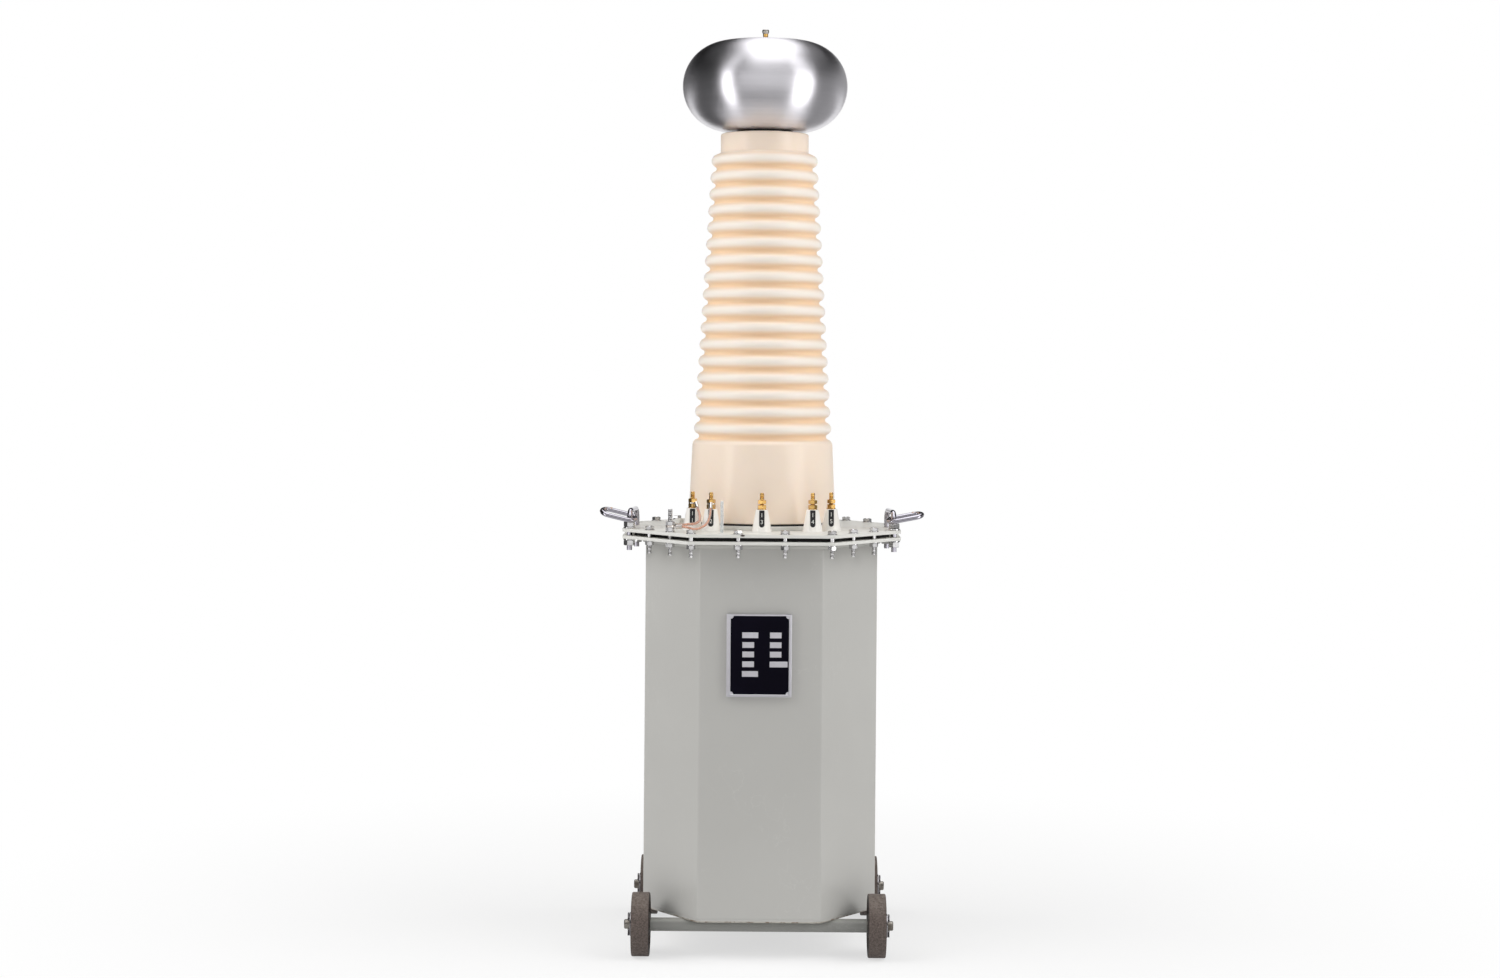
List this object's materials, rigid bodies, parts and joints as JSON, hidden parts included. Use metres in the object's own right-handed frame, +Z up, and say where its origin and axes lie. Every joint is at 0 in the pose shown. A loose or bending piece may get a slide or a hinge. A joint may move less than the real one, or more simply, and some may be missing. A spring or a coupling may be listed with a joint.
{
  "type": "oil-immersed test transformer",
  "caption": "Wheeled oil-filled high-voltage test transformer with ribbed bushing, round top electrode, bolted lid, low-voltage terminals and lifting links.",
  "frame": {"origin": "on the ground under the bushing axis, at the centre of the footprint", "axes": "+Z up along the bushing, front with the nameplate towards -Y, +X to the right seen from the front"},
  "size_m": [0.4204, 0.372, 1.194],
  "materials": {
    "grey_paint": "smooth light grey enamel, semi-gloss",
    "weld_paint": "painted weld bead",
    "gasket_rubber": "black oil-proof rubber",
    "zinc_steel": "bright zinc-plated fasteners",
    "bright_chrome": "bright plated bar",
    "cast_resin": "cream cast resin, smooth and glossy",
    "black_collar": "black moulded collar",
    "spun_aluminium": "spun and circularly brushed",
    "terminal_brass": "turned brass",
    "white_insulator": "white moulded insulator",
    "label_black": "black inlaid strip, bare",
    "copper_lead": "copper strands in clear sleeving",
    "lug_tin": "tinned copper lug",
    "clear_tube": "clear tube",
    "frame_silver": "satin silver frame",
    "plate_black": "black plate with bare silver fields",
    "tube_paint": "grey painted pipe",
    "rod_steel": "bare turned steel",
    "wheel_rubber": "solid moulded wheel, dusty brown-grey"
  },
  "bodies": {
    "tank": {"tank_shell": "grey_paint", "tank_floor": "grey_paint", "flange_weld": "weld_paint", "tank_flange": "grey_paint", "flange_gasket": "gasket_rubber", "lid": "grey_paint", "lid_bolts": "zinc_steel", "lid_bolt_nuts": "zinc_steel", "lifting_staple_left": "bright_chrome", "lifting_staple_right": "bright_chrome", "staple_nuts": "zinc_steel", "bushing_base_ring": "grey_paint", "bushing_gasket": "gasket_rubber", "bushing": "cast_resin", "electrode_collar": "black_collar", "electrode": "spun_aluminium", "top_terminal": "terminal_brass", "terminal_insulators": "white_insulator", "terminal_labels": "label_black", "terminal_studs": "terminal_brass", "earth_stud": "zinc_steel", "terminal_lug_front": "lug_tin", "terminal_lug_rear": "lug_tin", "earth_lug_front": "lug_tin", "earth_lug_rear": "lug_tin", "earth_lead_front": "copper_lead", "earth_lead_rear": "copper_lead", "oil_filler_plug": "grey_paint", "level_tube": "clear_tube", "nameplate_frame": "frame_silver", "nameplate": "plate_black", "front_axle_tube": "tube_paint", "rear_axle_tube": "tube_paint", "front_axle_rod": "rod_steel", "rear_axle_rod": "rod_steel", "axle_washers": "zinc_steel", "split_pins": "zinc_steel"},
    "wheel_front_left": {"wheel_front_left": "wheel_rubber"},
    "wheel_front_right": {"wheel_front_right": "wheel_rubber"},
    "wheel_rear_left": {"wheel_rear_left": "wheel_rubber"},
    "wheel_rear_right": {"wheel_rear_right": "wheel_rubber"},
    "lifting_link_left": {"lifting_link_left": "bright_chrome"},
    "lifting_link_right": {"lifting_link_right": "bright_chrome"}
  },
  "joints": [
    {"name": "wheel_front_left_spin", "type": "hinge", "parent": "tank", "child": "wheel_front_left", "pos_m": [-0.14975, -0.129, 0.04], "axis": [1, 0, 0], "continuous": true},
    {"name": "wheel_front_right_spin", "type": "hinge", "parent": "tank", "child": "wheel_front_right", "pos_m": [0.14975, -0.129, 0.04], "axis": [1, 0, 0], "continuous": true},
    {"name": "wheel_rear_left_spin", "type": "hinge", "parent": "tank", "child": "wheel_rear_left", "pos_m": [-0.14975, 0.129, 0.04], "axis": [1, 0, 0], "continuous": true},
    {"name": "wheel_rear_right_spin", "type": "hinge", "parent": "tank", "child": "wheel_rear_right", "pos_m": [0.14975, 0.129, 0.04], "axis": [1, 0, 0], "continuous": true},
    {"name": "lifting_link_left_swing", "type": "hinge", "parent": "tank", "child": "lifting_link_left", "pos_m": [-0.171, -0.06912, 0.5508], "axis": [0, 0, 1], "range_deg": [-30, 30]},
    {"name": "lifting_link_right_swing", "type": "hinge", "parent": "tank", "child": "lifting_link_right", "pos_m": [0.171, -0.06912, 0.5508], "axis": [0, 0, 1], "range_deg": [-30, 30]}
  ]
}
